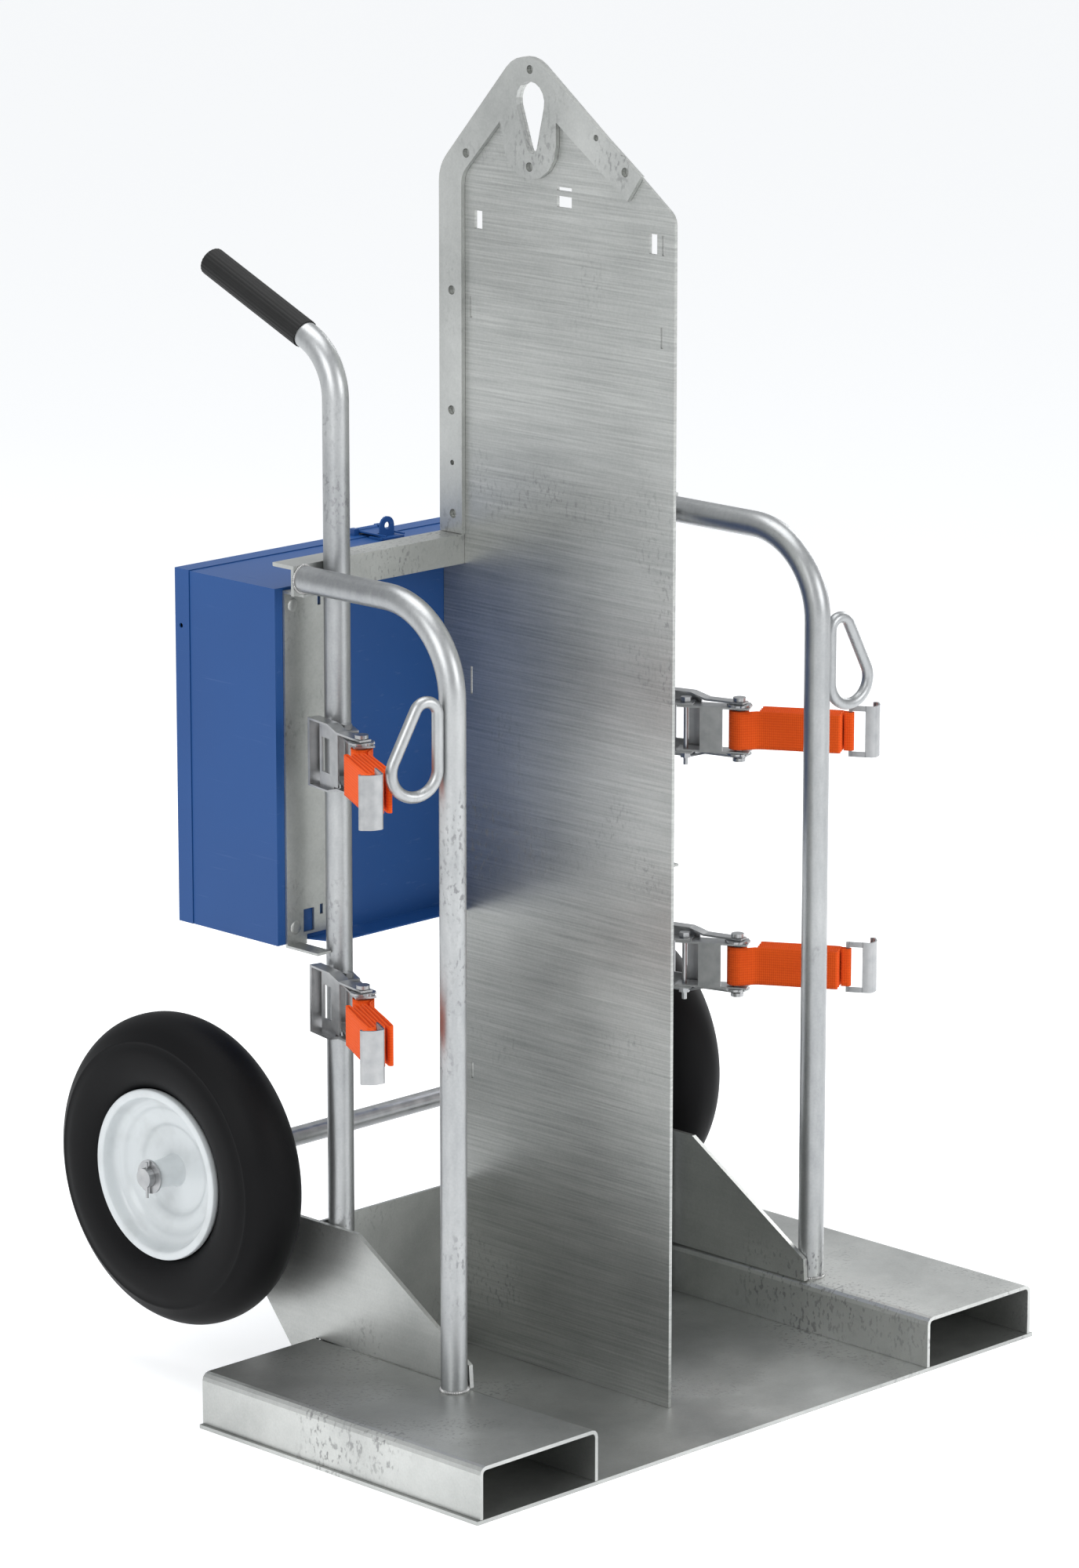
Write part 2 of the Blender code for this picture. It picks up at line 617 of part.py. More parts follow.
def ratchet_handle(name, s):
    """Lever folded back over the frame: two flared arms, a windowed plate and a grip bar."""
    upper = [(-0.009, 0.0371), (0.046, 0.0371), (0.068, 0.0435), (0.115, 0.0435)]
    inner = [(0.1105, 0.0409), (0.069, 0.0409), (0.047, 0.0345), (-0.009, 0.0345)]
    outline = upper + [(x, -z) for x, z in reversed(upper)]
    outline += [(x, -z) for x, z in reversed(inner)] + inner
    handle = flat(name, "zinc", [outline], 0.0165, "Y", 0)
    fuse(handle, (0.064, -0.00125, -0.0415), (0.098, 0.00125, 0.0415))
    fuse(handle, (0.055, -0.00120, -0.0365), (0.066, 0.00120, 0.0365))
    slot(handle, (0.074, -0.01, -0.022), (0.093, 0.01, 0.022))
    hole(handle, 0.0066, (0, 0, -0.05), (0, 0, 0.05), 12)
    handle.location = (SPOOL, 0, 0)
    handle.rotation_euler = (0, 0, math.pi - s * HANDLE_LEAN)
    return handle


def strap_bundle(name, s):
    """Webbing wound on the spool and folded into a bundle, as one plain closed solid."""
    outline = arc((SPOOL, 0), 0.015, 60, 300, 12)
    outline += [(0.090, -0.006), (0.097, -0.003), (0.205, -0.003), (0.205, 0.0155)]
    outline += [(0.226, 0.0155), (0.226, 0.027), (0.205, 0.027), (0.205, 0.031)]
    outline += [(0.097, 0.031), (0.097, 0.010)]
    holes = [circle((SPOOL, 0), 0.0066, 16), window(0.2105, 0.2185, 0.018, 0.0245)]
    outlines = [[(u, s * v) for u, v in line] for line in [outline] + holes]
    return flat(name, "webbing", outlines, WEBBING, "Z", 0)


def strap_hook(name, s):
    """Flat hook on the webbing's end: a bar in a window, and a lip turned outward."""
    outline = [(0.212, 0.0225), (0.212, 0.020)]
    outline += arc((0.243, 0.026), 0.006, -90, 0, 4)
    outline += [(0.249, 0.046), (0.2455, 0.0495), (0.2415, 0.0495), (0.2415, 0.047)]
    outline += [(0.2450, 0.047), (0.2465, 0.045)]
    outline += arc((0.243, 0.026), 0.0035, 0, -90, 4)
    hook = flat(name, "zinc", [[(u, s * v) for u, v in outline]], 0.068, "Z", 0)
    ends = sorted((s * 0.015, s * 0.030))
    slot(hook, (0.217, ends[0], -0.0268), (0.234, ends[1], 0.0268))
    return hook


base_and_pockets()
gussets_and_panel()
centre_wall()
lifting_frame()
angle_crossbar()
poles_and_hoops()
torch_rings()
wheels()
toolbox_brackets()
toolbox()
hasp()
for side in SIDES:
    for level in (0, 1):
        ratchet(side, level)
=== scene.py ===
"""Looks of the gas welding cart, in the order in which it is put together."""

import json
import math

import bmesh
import bpy
import numpy as np
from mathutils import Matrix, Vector


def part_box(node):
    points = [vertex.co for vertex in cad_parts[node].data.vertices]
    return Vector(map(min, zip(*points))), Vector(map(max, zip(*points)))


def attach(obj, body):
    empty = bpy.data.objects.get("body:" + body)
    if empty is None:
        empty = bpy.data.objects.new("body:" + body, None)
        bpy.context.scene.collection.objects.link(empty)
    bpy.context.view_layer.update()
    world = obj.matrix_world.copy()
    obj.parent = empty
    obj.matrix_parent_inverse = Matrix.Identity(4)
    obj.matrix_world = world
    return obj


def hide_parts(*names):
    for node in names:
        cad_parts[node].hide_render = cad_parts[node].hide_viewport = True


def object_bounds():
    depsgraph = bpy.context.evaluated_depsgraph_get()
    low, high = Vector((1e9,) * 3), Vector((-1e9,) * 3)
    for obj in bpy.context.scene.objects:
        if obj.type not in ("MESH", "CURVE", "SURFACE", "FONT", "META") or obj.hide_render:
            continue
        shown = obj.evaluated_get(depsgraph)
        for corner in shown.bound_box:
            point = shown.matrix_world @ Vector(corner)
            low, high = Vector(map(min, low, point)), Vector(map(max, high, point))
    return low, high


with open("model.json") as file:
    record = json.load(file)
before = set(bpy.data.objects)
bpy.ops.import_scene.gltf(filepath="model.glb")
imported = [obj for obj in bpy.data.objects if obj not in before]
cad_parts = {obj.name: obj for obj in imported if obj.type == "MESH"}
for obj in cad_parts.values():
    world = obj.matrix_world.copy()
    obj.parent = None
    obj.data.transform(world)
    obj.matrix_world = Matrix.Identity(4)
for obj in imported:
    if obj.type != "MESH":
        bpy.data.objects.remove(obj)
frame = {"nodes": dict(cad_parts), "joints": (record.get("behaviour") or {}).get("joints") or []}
cad_low, cad_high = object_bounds()


# Camera, floor and light: a long lens from the left front, a pale floor that runs on behind, and
# large soft lamps, so that bare metal has broad bright and dim shapes to mirror.
camera = bpy.data.objects.new("camera", bpy.data.cameras.new("camera"))
bpy.context.scene.collection.objects.link(camera)
camera.data.sensor_width = 36.0
camera.data.lens = 145.466
camera.data.clip_end = 200.0
camera.location = (-5.5254, -5.3867, 2.6424)
camera.rotation_euler = (math.radians(90 - 13.523), math.radians(-0.027), math.radians(-44.905))
bpy.context.scene.camera = camera


def softbox(name, place, target, width, height, power):
    """A rectangular lamp at one point that faces another."""
    lamp = bpy.data.lights.new(name, "AREA")
    lamp.shape = "RECTANGLE"
    lamp.size, lamp.size_y, lamp.energy = width, height, power
    stand = bpy.data.objects.new(name, lamp)
    stand.location = place
    stand.rotation_euler = (Vector(target) - Vector(place)).to_track_quat("-Z", "Y").to_euler()
    bpy.context.scene.collection.objects.link(stand)


softbox("lamp_left", (-3.6, -0.9, 2.6), (0, 0, 0.8), 2.2, 2.6, 62)
softbox("lamp_front", (1.0, -4.2, 2.4), (0, 0, 0.7), 2.4, 2.2, 70)
softbox("lamp_right", (3.8, 0.6, 2.2), (0, 0, 0.7), 1.8, 2.6, 72)
softbox("lamp_above", (-0.2, 0.4, 4.4), (0, 0, 0), 2.8, 2.8, 70)
room = bpy.data.worlds.new("room")
bpy.context.scene.world = room
room.use_nodes = True
room.node_tree.nodes["Background"].inputs["Color"].default_value = (0.93, 0.95, 0.97, 1)
room.node_tree.nodes["Background"].inputs["Strength"].default_value = 0.62
bpy.context.scene.view_settings.view_transform = "Standard"

FLOOR_REACH = 60.0
floor_mesh = bpy.data.meshes.new("floor")
corners = [(-1, -1, 0), (1, -1, 0), (1, 1, 0), (-1, 1, 0)]
drop = cad_low.z - 0.0005
floor_mesh.from_pydata([(x * FLOOR_REACH, y * FLOOR_REACH, drop) for x, y, z in corners], [], [(0, 1, 2, 3)])
floor = bpy.data.objects.new("floor", floor_mesh)
bpy.context.scene.collection.objects.link(floor)


# Base: a galvanised floor plate with an inverted channel along each side for a lift fork, two side
# plates that carry the axle, and a back panel. All are bent and welded sheet with a rolled, dulled
# zinc skin, drawn out in fine lines and nicked with dark handling marks.
class Field:
    """A value that varies over a surface; +, - and * on it add Math nodes."""

    def __init__(self, finish, socket):
        self.finish, self.socket = finish, socket

    def maths(self, operation, *terms):
        return self.finish.node("ShaderNodeMath", {"operation": operation}, dict(enumerate(terms)))

    def __add__(self, other):
        return self.maths("ADD", self, other)

    def __sub__(self, other):
        return self.maths("SUBTRACT", self, other)

    def __rsub__(self, other):
        return self.maths("SUBTRACT", other, self)

    def __mul__(self, other):
        return self.maths("MULTIPLY", self, other)

    __radd__ = __add__
    __rmul__ = __mul__


class Finish:
    """A surface finish: a named material with one main shader."""

    def __init__(self, name, **sockets):
        self.material = bpy.data.materials.new(name)
        self.material.use_nodes = True
        self.tree = self.material.node_tree
        self.shader = self.tree.nodes["Principled BSDF"]
        self.feed(self.shader, sockets)

    def feed(self, node, sockets):
        """Link or set a node's inputs, by their names or numbers."""
        for key, value in sockets.items():
            entry = node.inputs[key.replace("_", " ") if isinstance(key, str) else key]
            if isinstance(value, Field):
                self.tree.links.new(value.socket, entry)
            else:
                entry.default_value = value

    def node(self, kind, settings=None, sockets=None, output=0):
        """Add a node: its settings first, then its sockets; gives one output as a Field."""
        made = self.tree.nodes.new(kind)
        for key, value in (settings or {}).items():
            if key == "stops":
                ramp = made.color_ramp.elements
                while len(ramp) < len(value):
                    ramp.new(0.5)
                for stop, (where, level) in zip(ramp, value):
                    stop.position, stop.color = where, (level, level, level, 1)
            else:
                setattr(made, key, value)
        self.feed(made, sockets or {})
        return Field(self, made.outputs[output])

    def place(self, scale=(1, 1, 1), turn=(0, 0, 0), kind="Object"):
        """Coordinates on the piece, stretched and turned."""
        where = self.node("ShaderNodeTexCoord", output=kind)
        return self.node("ShaderNodeMapping", None, {"Vector": where, "Scale": scale, "Rotation": turn})

    def cloud(self, scale, detail=3.0, stretch=(1, 1, 1), turn=(0, 0, 0), kind="Object"):
        """Soft noise from 0 to 1; scale is in blobs per metre."""
        where = self.place(stretch, turn, kind)
        return self.node("ShaderNodeTexNoise", None, {"Vector": where, "Scale": scale, "Detail": detail})

    def band(self, field, low, high):
        """0 below low, 1 above high."""
        stops = [(low, 0.0), (high, 1.0)]
        return self.node("ShaderNodeValToRGB", {"stops": stops}, {0: field})

    def blend(self, amount, first, second):
        """From the first colour to the second."""
        return self.node("ShaderNodeMix", {"data_type": "RGBA"}, {0: amount, 6: first, 7: second}, 2)

    def wear(self, colour, roughness, height=None, depth=0.0003, strength=0.4):
        """Feed the main shader its varying values."""
        self.feed(self.shader, {"Base Color": colour, "Roughness": roughness})
        if height is not None:
            raised = {"Height": height, "Distance": depth, "Strength": strength}
            self.feed(self.shader, {"Normal": self.node("ShaderNodeBump", None, raised)})
        return self.material


def galvanised(name, stretch, drawn, light, dull, turn=(0, 0, 0), scuffed=0.55):
    """Zinc skin: drawn lines (0 to 1) over a cloudy tone, fine grain, and dark scuffs in patches."""
    finish = Finish(name, Metallic=0.93)
    lines = finish.cloud(1.0, 4.0, stretch, turn)
    tone = finish.cloud(4.5, 4.0)
    grain = finish.cloud(330.0, 3.0)
    patches = finish.band(finish.cloud(5.0, 5.0), 0.55, 0.68)
    scuffs = finish.band(finish.cloud(190.0, 10.0, (1, 1, 0.6)), 0.54, 0.63) * patches
    mix = finish.band(lines * drawn + tone * (0.86 - drawn) + grain * 0.14, 0.32, 0.66)
    colour = finish.blend(scuffs * scuffed, finish.blend(mix, dull, light), (0.085, 0.08, 0.09, 1))
    rough = 0.29 + 0.16 * drawn * lines + 0.12 * tone + 0.05 * grain + 0.18 * scuffs
    return finish.wear(colour, rough, lines * drawn + grain * 0.35 - scuffs * 0.3)


def carry(material, *names):
    """Give frame pieces a finish."""
    for name in names:
        shape = frame["nodes"][name].data
        shape.materials.clear()
        shape.materials.append(material)


SIDES = {"left": -1, "right": 1}
SILVER, LEAD = (0.62, 0.63, 0.61, 1), (0.34, 0.35, 0.34, 1)
rolled_sheet = galvanised("galvanised_sheet", (60, 60, 60), 0.10, SILVER, LEAD)
SIDE_SLANT = math.radians(12)
rolled_side = galvanised("galvanised_side_plate", (60, 14, 320), 0.10, SILVER, LEAD, (SIDE_SLANT, 0, 0))
carry(rolled_sheet, "base_plate", "back_panel", "fork_pocket_left", "fork_pocket_right")
carry(rolled_side, "gusset_left", "gusset_right")


# Fire wall and lifting frame: one tall sheet between the cylinders and a thicker frame plate on its
# left face, with the eye for a crane hook. The sheet is brushed crosswise on a slight slant.
WALL_TURN = (math.radians(3), 0, 0)
WALL_LIGHT, WALL_DULL = (0.58, 0.59, 0.57, 1), (0.31, 0.32, 0.31, 1)
WALL_GRAIN = (60, 7, 420)
brushed_wall = galvanised("galvanised_wall", WALL_GRAIN, 0.46, WALL_LIGHT, WALL_DULL, WALL_TURN, 0.38)
carry(brushed_wall, "centre_wall")
carry(galvanised("galvanised_frame", (90, 90, 90), 0.10, SILVER, LEAD), "lifting_frame")


# Poles, hoops and crossbar: bent one-inch pipe, welded to the base and to a steel angle. The pipe is
# the same zinc, brighter, with dark speckle where it has been handled.
PIPE_RADIUS = 0.0167
PIPE_WALL = 0.0034
PIPE_SIDES = 40
BEAD_STEPS, BEAD_SIDES = 184, 10


def quads_of(rows, columns, wrap, first):
    """Corner numbers of the faces of one grid, round its ends where wrapped."""
    row = np.arange(rows if wrap[0] else rows - 1)[:, None]
    column = np.arange(columns if wrap[1] else columns - 1)[None, :]
    below, beside = (row + 1) % rows, (column + 1) % columns
    here, under = row * columns, below * columns
    corners = [here + column, under + column, under + beside, here + beside]
    return first + np.stack(corners, axis=-1).reshape(-1, 4)


def surface(name, grids, material, body, wrap=(False, True), sharp=32, uv=None, nodes=()):
    """Skin one or more grids of points: (i, j) joins (i+1, j) and (i, j+1)."""
    grids = grids if isinstance(grids, list) else [grids]
    firsts = np.cumsum([0] + [grid.shape[0] * grid.shape[1] for grid in grids])
    quads = np.concatenate([quads_of(*grid.shape[:2], wrap, first) for grid, first in zip(grids, firsts)])
    points = np.concatenate([grid.reshape(-1, 3) for grid in grids])
    mesh = bpy.data.meshes.new(name)
    mesh.from_pydata(points.tolist(), [], quads.tolist())
    if uv is not None:
        layer = mesh.uv_layers.new(name="cloth")
        layer.data.foreach_set("uv", uv.reshape(-1, 2)[quads.reshape(-1)].reshape(-1))
    work = bmesh.new()
    work.from_mesh(mesh)
    bmesh.ops.remove_doubles(work, verts=work.verts, dist=1e-6)
    bmesh.ops.recalc_face_normals(work, faces=work.faces)
    work.to_mesh(mesh)
    work.free()
    mesh.shade_smooth()
    mesh.set_sharp_from_angle(angle=math.radians(sharp))
    mesh.materials.append(material)
    piece = bpy.data.objects.new(name, mesh)
    bpy.context.scene.collection.objects.link(piece)
    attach(piece, body)
    if nodes:
        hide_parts(*nodes)
    return piece


def rings(path, across, radius, sides):
    """Ring (i, a) = path point + radius * (cos a * across + sin a * the path's own normal)."""
    path = np.asarray(path, float)
    along = np.gradient(path, axis=0)
    along /= np.linalg.norm(along, axis=1)[:, None]
    across = np.asarray(across, float)
    normal = np.cross(along, across)
    turn = np.linspace(0, 2 * np.pi, sides, endpoint=False)
    radius = np.broadcast_to(radius, (len(path), sides))[..., None]
    around = np.cos(turn)[None, :, None] * across + np.sin(turn)[None, :, None] * normal[:, None, :]
    return path[:, None, :] + radius * around


def bend(centre, radius, first, last, steps=20):
    """Points of an arc in the (y, z) plane, in degrees."""
    turn = np.radians(np.linspace(first, last, steps))
    return np.stack([centre[0] + radius * np.cos(turn), centre[1] + radius * np.sin(turn)], axis=1)


def straight(start, end, count):
    """Evenly spaced points between two."""
    return np.linspace(np.asarray(start, float), np.asarray(end, float), count)


def pipe(name, yz, x, material, node):
    """An open pipe: its outer skin out and its inner skin back, closed at both rims."""
    path = np.insert(yz, 0, x, axis=1)
    outer = rings(path, (1, 0, 0), PIPE_RADIUS, PIPE_SIDES)
    inner = rings(path, (1, 0, 0), PIPE_RADIUS - PIPE_WALL, PIPE_SIDES)
    skin = np.concatenate([outer, inner[::-1]])
    return surface(name, skin, material, "cart", (True, True), nodes=(node,))


def weld(name, centre, axis, radius, thick, material):
    """A bead round a joint, as thick as thick * (1 + 0.18 cos(46 a) + 0.10 sin(5 a)) at the angle a."""
    axis = np.asarray(axis, float)
    first = np.cross(axis, (0.31, 0.62, 0.72))
    first /= np.linalg.norm(first)
    second = np.cross(axis, first)
    turn = np.linspace(0, 2 * np.pi, BEAD_STEPS, endpoint=False)[:, None, None]
    around = np.linspace(0, 2 * np.pi, BEAD_SIDES, endpoint=False)[None, :, None]
    out = np.cos(turn) * first + np.sin(turn) * second
    size = thick * (1 + 0.18 * np.cos(46 * turn) + 0.10 * np.sin(5 * turn))
    grid = np.asarray(centre) + out * (radius + size * np.cos(around)) + axis * size * np.sin(around)
    return surface(name, grid, material, "cart", (True, True))


PIPE_LIGHT, PIPE_DULL = (0.50, 0.51, 0.51, 1), (0.30, 0.31, 0.32, 1)
bright_pipe = galvanised("galvanised_pipe", (150, 150, 40), 0.22, PIPE_LIGHT, PIPE_DULL, scuffed=0.7)
bead_metal = galvanised("weld_bead", (200, 200, 200), 0.30, (0.55, 0.55, 0.54, 1), (0.30, 0.30, 0.30, 1))
carry(rolled_sheet, "angle_crossbar", "toolbox_bracket_left", "toolbox_bracket_right")

HANDLE_DEGREES = 23
HANDLE_SLOPE = math.radians(HANDLE_DEGREES)
POLE_BEND, POLE_BEND_START, POLE_REACH = 0.080, 1.281, 0.190
HOOP_BEND = 0.112
FOOT_BEAD, END_BEAD, BEAD_SINK = 0.0022, 0.0020, 0.001
slope = np.array([math.cos(HANDLE_SLOPE), math.sin(HANDLE_SLOPE)])
grip_mouths = {}
for side, sign in SIDES.items():
    low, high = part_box("pole_" + side)
    pole_x, pole_y = (low.x + high.x) / 2, low.y + PIPE_RADIUS
    upright = straight((pole_y, low.z), (pole_y, POLE_BEND_START), 24)
    curve = bend((pole_y + POLE_BEND, POLE_BEND_START), POLE_BEND, 180, 180 - (90 - HANDLE_DEGREES))
    reach = straight(curve[-1], curve[-1] + POLE_REACH * slope, 8)
    route = np.concatenate([upright, curve[1:], reach[1:]])
    pipe("pole_pipe_" + side, route, pole_x, bright_pipe, "pole_" + side)
    grip_mouths[side] = np.array([pole_x, *curve[-1]])
    foot = (pole_x, pole_y, low.z + BEAD_SINK)
    weld("pole_weld_" + side, foot, (0, 0, 1), PIPE_RADIUS, FOOT_BEAD, bead_metal)
    low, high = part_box("hoop_" + side)
    hoop_x, hoop_y, hoop_z = (low.x + high.x) / 2, low.y + PIPE_RADIUS, high.z - PIPE_RADIUS
    upright = straight((hoop_y, low.z), (hoop_y, hoop_z - HOOP_BEND), 24)
    curve = bend((hoop_y + HOOP_BEND, hoop_z - HOOP_BEND), HOOP_BEND, 180, 90)
    reach = straight(curve[-1], (high.y, hoop_z), 8)
    route = np.concatenate([upright, curve[1:], reach[1:]])
    pipe("hoop_pipe_" + side, route, hoop_x, bright_pipe, "hoop_" + side)
    foot, end = (hoop_x, hoop_y, low.z + BEAD_SINK), (hoop_x, high.y - BEAD_SINK, hoop_z)
    weld("hoop_foot_weld_" + side, foot, (0, 0, 1), PIPE_RADIUS, FOOT_BEAD, bead_metal)
    weld("hoop_end_weld_" + side, end, (0, 1, 0), PIPE_RADIUS, END_BEAD, bead_metal)


# Grips: soft black rubber sleeves pushed over the pole ends, fluted along their length, with a
# rounded closed end.
GRIP_FROM, GRIP_TO, GRIP_RADIUS = 0.006, 0.195, 0.0184
GRIP_TIP, GRIP_SIDES, GRIP_STEPS = 0.006, 144, 60
FLUTE_DEPTH, FLUTE_WAVES = 0.0005, 12
black_grip = Finish("grip_rubber", Metallic=0.0, Specular_IOR_Level=0.3)
dust = black_grip.cloud(60.0, 3.0)
grip_black = black_grip.wear(
    black_grip.blend(dust, (0.006, 0.006, 0.006, 1), (0.014, 0.014, 0.014, 1)),
    0.52 + 0.20 * dust,
    black_grip.cloud(900.0, 2.0),
    0.0001,
)
for side, mouth in grip_mouths.items():
    step = np.array([0.0, slope[0], slope[1]])
    close = np.linspace(0.15, np.pi / 2, 8)
    sleeve = np.linspace(GRIP_FROM, GRIP_TO - GRIP_TIP, GRIP_STEPS)
    stations = np.concatenate([sleeve, GRIP_TO - GRIP_TIP + GRIP_TIP * np.sin(close)])
    rounding = np.concatenate([np.ones(GRIP_STEPS), np.cos(close)])
    turn = np.linspace(0, 2 * np.pi, GRIP_SIDES, endpoint=False)
    flutes = FLUTE_DEPTH * np.abs(np.cos(FLUTE_WAVES * turn))
    radius = rounding[:, None] * (GRIP_RADIUS - FLUTE_DEPTH + flutes[None, :])
    path = mouth + stations[:, None] * step
    lip = rings(np.stack([path[0], path[1]]), (1, 0, 0), PIPE_RADIUS + 0.0004, GRIP_SIDES)[:1]
    skin = np.concatenate([lip, rings(path, (1, 0, 0), radius, GRIP_SIDES)])
    node = "grip_" + side
    surface("grip_sleeve_" + side, skin, grip_black, "cart", sharp=50, nodes=(node,))


# Torch rings: a bent rod closed into a pear shape and welded flat against each hoop.
RING_ROD = 0.0074
RING_HEIGHTS = {"left": 0.897, "right": 0.893}
RING_TURNS = {"left": math.radians(15), "right": math.radians(-6.5)}
HOOP_X, HOOP_Y = 0.3256, -0.0215
RING_CLEAR = 0.0008
for side, sign in SIDES.items():
    lower = bend((0.032, -0.028), 0.032, 26, -180, 34)
    upper = bend((0.016, 0.040), 0.016, 180, 26, 18)
    rise = straight(lower[-1], upper[0], 12)[1:-1]
    fall = straight(upper[-1], lower[0], 12)[1:-1]
    loop = np.concatenate([lower, rise, upper, fall])
    turn = RING_TURNS[side]
    reach = HOOP_X + PIPE_RADIUS + RING_CLEAR + RING_ROD + loop[:, 0] * math.cos(turn)
    swing = HOOP_Y + loop[:, 0] * math.sin(turn)
    path = np.stack([sign * reach, swing, RING_HEIGHTS[side] + loop[:, 1]], axis=1)
    closed = np.concatenate([path[-1:], path, path[:1]])
    face = np.array([-sign * math.sin(turn), math.cos(turn), 0.0])
    grid = rings(closed, face, RING_ROD, 20)[1:-1]
    node = "torch_ring_" + side
    surface("torch_loop_" + side, grid, bright_pipe, "cart", (True, True), nodes=(node,))


# Wheels: smooth black tyres on pressed steel rims painted white, on one zinc-plated axle with a
# washer and a split pin outside each hub.
LATHE_SIDES = 128


def lathe(name, profile, centre, sign, material, body, node, sharp=32):
    """Point (i, a) = centre + along_i on X and out_i * (cos a, sin a) on (Y, Z)."""
    profile = np.asarray(profile, float)
    turn = np.linspace(0, 2 * np.pi, LATHE_SIDES, endpoint=False)
    out, along = profile[:, 0:1], sign * profile[:, 1:2] + np.zeros((1, LATHE_SIDES))
    across, up = centre[1] + out * np.cos(turn), centre[2] + out * np.sin(turn)
    grid = np.stack([centre[0] + along, across, up], axis=-1)
    return surface(name, grid, material, body, (True, True), sharp, nodes=(node,))


def rounded(profile, rounds=3):
    """Corner cutting: each pass puts points a quarter and three quarters along every side."""
    line = np.asarray(profile, float)
    for _ in range(rounds):
        after = np.roll(line, -1, axis=0)
        line = np.stack([0.75 * line + 0.25 * after, 0.25 * line + 0.75 * after], axis=1).reshape(-1, 2)
    return line


AXLE_Y, AXLE_Z, WHEEL_X = 0.420, 0.276, 0.382
rubber = Finish("tyre_rubber", Metallic=0.0, Specular_IOR_Level=0.12)
scuff = rubber.cloud(14.0, 5.0)
tyre_black = rubber.wear(
    rubber.blend(scuff, (0.0025, 0.0025, 0.003, 1), (0.006, 0.006, 0.0065, 1)),
    0.46 + 0.20 * scuff,
    rubber.cloud(420.0, 3.0),
    0.0002,
)
enamel = Finish("white_enamel", Metallic=0.0, Coat_Weight=0.25)
grime = enamel.band(enamel.cloud(22.0, 5.0), 0.52, 0.75)
rim_white = enamel.wear(
    enamel.blend(grime * 0.5, (0.58, 0.61, 0.62, 1), (0.42, 0.44, 0.44, 1)),
    0.30 + 0.20 * grime,
    enamel.cloud(300.0, 2.0),
    0.0001,
)
plated = Finish("zinc_plate", Metallic=0.95)
sheen = plated.cloud(70.0, 3.0)
zinc = plated.wear(
    plated.blend(sheen, (0.27, 0.28, 0.29, 1), (0.52, 0.52, 0.52, 1)),
    0.22 + 0.22 * sheen,
    plated.cloud(500.0, 2.0),
    0.0001,
)
half_tyre = [(0.1045, 0.0280), (0.1115, 0.0335), (0.1140, 0.0385), (0.130, 0.0478), (0.155, 0.0500)]
half_tyre += [(0.1700, 0.0462), (0.1735, 0.0468), (0.1770, 0.0440), (0.1920, 0.0330), (0.2015, 0.0160)]
TYRE_CROWN = 0.2034
rim_section = [(0.0134, 0.051), (0.0175, 0.051), (0.0190, 0.0120), (0.026, 0.0085), (0.056, 0.0065)]
rim_section += [(0.062, 0.0150), (0.080, 0.0165), (0.086, 0.0245), (0.0965, 0.0262), (0.0995, 0.0430)]
rim_section += [(0.1015, 0.0455), (0.1095, 0.0455), (0.1112, 0.0435), (0.1112, 0.0350), (0.1035, 0.0285)]
rim_section += [(0.1035, -0.0285), (0.1105, -0.0345), (0.1105, -0.0375), (0.100, -0.0375)]
rim_section += [(0.0985, 0.0175), (0.088, 0.0165), (0.082, 0.0085), (0.065, 0.0070), (0.058, -0.001)]
rim_section += [(0.018, 0.002), (0.0175, -0.051), (0.0134, -0.051)]
for side, sign in SIDES.items():
    hub = (sign * WHEEL_X, AXLE_Y, AXLE_Z)
    body = "wheel_" + side
    other_half = [(out, -along) for out, along in reversed(half_tyre)]
    tread = rounded(half_tyre + [(TYRE_CROWN, 0.0)] + other_half)
    pressing = rounded(rim_section, 2)
    lathe("tyre_skin_" + side, tread, hub, sign, tyre_black, body, "tyre_" + side, 60)
    lathe("rim_skin_" + side, pressing, hub, sign, rim_white, body, "rim_" + side)
    carry(zinc, "washer_" + side, "cotter_pin_" + side)
carry(zinc, "axle")


# Toolbox: folded sheet-steel box with a hinged tray lid and a hasp, powder coated blue with a faint
# orange-peel texture.
coat = Finish("blue_powder_coat", Metallic=0.0, Coat_Weight=0.05, Specular_IOR_Level=0.35)
fade = coat.cloud(4.0, 3.0)
scratch = coat.band(coat.cloud(1.0, 3.0, (50, 9, 210)), 0.66, 0.74)
powder = coat.blend(fade, (0.005, 0.050, 0.190, 1), (0.010, 0.070, 0.245, 1))
blue = coat.wear(
    coat.blend(scratch * 0.35, powder, (0.07, 0.13, 0.29, 1)),
    0.42 + 0.12 * fade + 0.15 * scratch,
    coat.cloud(650.0, 2.0),
    0.0002,
)
DIMPLE, DIMPLE_HEIGHT, DIMPLE_X = 0.0085, 0.0016, 0.3105
DIMPLE_UP, DIMPLE_DOWN = 0.024, 0.020
BOX_LEDGE, FIT_GAP, BRACKET_SHEET = 0.0378, 0.0003, 0.0032
for side, sign in SIDES.items():
    low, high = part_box("toolbox_bracket_" + side)
    share = np.linspace(0, np.pi / 2, 8)[:, None]
    turn = np.linspace(0, 2 * np.pi, 32, endpoint=False)[None, :]
    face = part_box("toolbox_body")[0].y + BOX_LEDGE - FIT_GAP - BRACKET_SHEET
    domes = []
    for height in (low.z + DIMPLE_UP, high.z - DIMPLE_DOWN):
        out = DIMPLE * np.sin(share)
        depth = face - DIMPLE_HEIGHT * np.cos(share) + 0 * turn
        grid = [sign * DIMPLE_X + out * np.cos(turn), depth, height + out * np.sin(turn)]
        domes.append(np.stack(grid, axis=-1))
    surface("bracket_dimples_" + side, domes, rolled_sheet, "cart")
carry(blue, "toolbox_body", "toolbox_lid", "hasp_staple", "hasp_strap")


